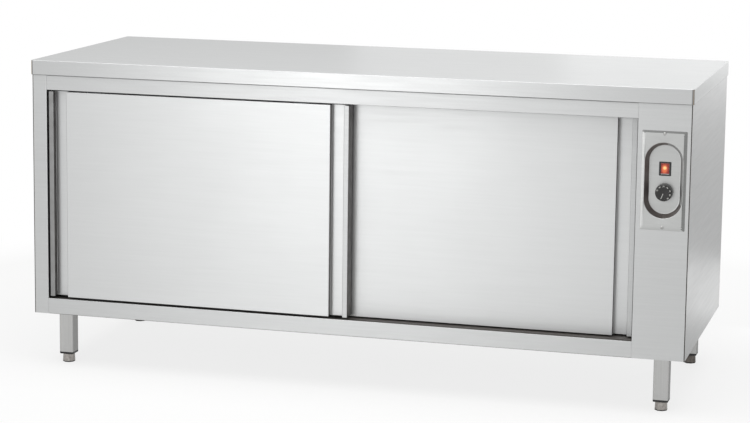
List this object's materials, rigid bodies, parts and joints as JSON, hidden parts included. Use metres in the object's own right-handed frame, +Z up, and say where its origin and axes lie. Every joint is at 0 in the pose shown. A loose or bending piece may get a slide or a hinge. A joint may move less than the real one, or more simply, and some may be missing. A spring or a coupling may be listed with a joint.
{
  "type": "heated plate cabinet",
  "caption": "Heated stainless cabinet on four legs with two overlapping sliding doors, a shelf inside, and a recessed control panel at the right end.",
  "frame": {"origin": "on the floor, under the middle of the worktop", "axes": "+X along the worktop towards the control panel end, -Y towards the doors, +Z up"},
  "size_m": [1.8, 0.7, 0.85],
  "materials": {
    "worktop_steel": "satin, fine grain along the length",
    "body_steel": "satin, fine grain",
    "frame_steel": "satin, fine grain",
    "door_steel": "satin, fine upright grain",
    "door_back_steel": "satin",
    "chamber_steel": "satin",
    "shelf_steel": "satin",
    "upright_steel": "satin",
    "leg_steel": "satin square tube",
    "foot_steel": "turned, satin",
    "plate_steel": "satin, pressed",
    "hanger_steel": "zinc plated",
    "screw_steel": "bright",
    "motor_steel": "grey enamel",
    "heater_tube": "dark annealed steel tube",
    "track_aluminium": "extruded, natural",
    "fan_aluminium": "spun sheet",
    "thermostat_shaft": "turned",
    "bulb_copper": "drawn copper tube",
    "thermostat_case": "zinc plated",
    "worktop_board": "raw particle board",
    "mineral_wool": "pressed mineral wool slab",
    "black_plastic": "moulded, matt",
    "grey_plastic": "extruded, matt",
    "black_switch_plastic": "moulded, fine texture",
    "black_knob_plastic": "moulded, fine texture",
    "white_nylon": "moulded nylon",
    "ivory_bakelite": "moulded",
    "lit_red_lens": "translucent red, lit from inside",
    "black_rubber": "moulded rubber"
  },
  "bodies": {
    "cabinet": {"worktop_skin": "worktop_steel", "worktop_board": "worktop_board", "left_side_panel": "body_steel", "right_side_panel": "body_steel", "left_stile": "frame_steel", "control_column": "frame_steel", "top_rail": "frame_steel", "bottom_rail": "frame_steel", "back_panel": "body_steel", "base_tray": "body_steel", "chamber_floor": "chamber_steel", "chamber_back": "chamber_steel", "chamber_left_wall": "chamber_steel", "heater_wall": "chamber_steel", "chamber_ceiling": "chamber_steel", "insulation": "mineral_wool", "shelf": "shelf_steel", "shelf_uprights": "upright_steel", "shelf_brackets": "upright_steel", "door_track": "track_aluminium", "bottom_guide": "grey_plastic", "door_stops": "black_rubber", "control_plate": "plate_steel", "plate_screws": "screw_steel", "switch_housing": "black_switch_plastic", "thermostat": "thermostat_case", "thermostat_bulb": "bulb_copper", "fan_motor": "motor_steel", "air_cover": "chamber_steel", "heating_element": "heater_tube", "safety_thermostat": "ivory_bakelite", "terminal_block": "ivory_bakelite", "cable_gland": "black_plastic", "leg_front_left": "leg_steel", "leg_front_right": "leg_steel", "leg_back_left": "leg_steel", "leg_back_right": "leg_steel", "leg_plugs": "black_plastic"},
    "left_door": {"left_door_front": "door_steel", "left_door_back": "door_back_steel", "left_door_core": "mineral_wool", "left_door_hangers": "hanger_steel", "left_door_shoes": "black_plastic"},
    "right_door": {"right_door_front": "door_steel", "right_door_back": "door_back_steel", "right_door_core": "mineral_wool", "right_door_hangers": "hanger_steel", "right_door_shoes": "black_plastic"},
    "switch_rocker": {"switch_rocker": "lit_red_lens"},
    "knob": {"control_knob": "black_knob_plastic", "thermostat_shaft": "thermostat_shaft"},
    "fan": {"fan_wheel": "fan_aluminium"},
    "left_wheel_1": {"left_door_wheel_1": "white_nylon"},
    "left_wheel_2": {"left_door_wheel_2": "white_nylon"},
    "right_wheel_1": {"right_door_wheel_1": "white_nylon"},
    "right_wheel_2": {"right_door_wheel_2": "white_nylon"},
    "foot_front_left": {"foot_front_left": "foot_steel"},
    "foot_front_right": {"foot_front_right": "foot_steel"},
    "foot_back_left": {"foot_back_left": "foot_steel"},
    "foot_back_right": {"foot_back_right": "foot_steel"}
  },
  "joints": [
    {"name": "left_door_slide", "type": "slide", "parent": "cabinet", "child": "left_door", "axis": [1, 0, 0], "range_m": [0, 0.754]},
    {"name": "right_door_slide", "type": "slide", "parent": "cabinet", "child": "right_door", "axis": [1, 0, 0], "range_m": [-0.754, 0]},
    {"name": "left_wheel_1_roll", "type": "hinge", "parent": "left_door", "child": "left_wheel_1", "pos_m": [-0.721, -0.32, 0.79], "axis": [0, 1, 0], "range_deg": [0, 4325.1]},
    {"name": "left_wheel_2_roll", "type": "hinge", "parent": "left_door", "child": "left_wheel_2", "pos_m": [-0.131, -0.32, 0.79], "axis": [0, 1, 0], "range_deg": [0, 4325.1]},
    {"name": "right_wheel_1_roll", "type": "hinge", "parent": "right_door", "child": "right_wheel_1", "pos_m": [0.033, -0.278, 0.79], "axis": [0, 1, 0], "range_deg": [-4325.1, 0]},
    {"name": "right_wheel_2_roll", "type": "hinge", "parent": "right_door", "child": "right_wheel_2", "pos_m": [0.623, -0.278, 0.79], "axis": [0, 1, 0], "range_deg": [-4325.1, 0]},
    {"name": "switch_rock", "type": "hinge", "parent": "cabinet", "child": "switch_rocker", "pos_m": [0.8285, -0.318, 0.6415], "axis": [1, 0, 0], "range_deg": [0, 14]},
    {"name": "knob_turn", "type": "hinge", "parent": "cabinet", "child": "knob", "pos_m": [0.8285, -0.335, 0.582], "axis": [0, 1, 0], "range_deg": [0, 270]},
    {"name": "fan_spin", "type": "hinge", "parent": "cabinet", "child": "fan", "pos_m": [0.74, 0.0252, 0.48], "axis": [1, 0, 0], "continuous": true},
    {"name": "foot_front_left_screw", "type": "slide", "parent": "cabinet", "child": "foot_front_left", "axis": [0, 0, -1], "range_m": [0, 0.025]},
    {"name": "foot_front_right_screw", "type": "slide", "parent": "cabinet", "child": "foot_front_right", "axis": [0, 0, -1], "range_m": [0, 0.025]},
    {"name": "foot_back_left_screw", "type": "slide", "parent": "cabinet", "child": "foot_back_left", "axis": [0, 0, -1], "range_m": [0, 0.025]},
    {"name": "foot_back_right_screw", "type": "slide", "parent": "cabinet", "child": "foot_back_right", "axis": [0, 0, -1], "range_m": [0, 0.025]}
  ],
  "couplings": [
    {"joint": "left_wheel_1_roll", "follows": "left_door_slide", "rad_per_m": 100},
    {"joint": "left_wheel_2_roll", "follows": "left_door_slide", "rad_per_m": 100},
    {"joint": "right_wheel_1_roll", "follows": "right_door_slide", "rad_per_m": 100},
    {"joint": "right_wheel_2_roll", "follows": "right_door_slide", "rad_per_m": 100}
  ]
}
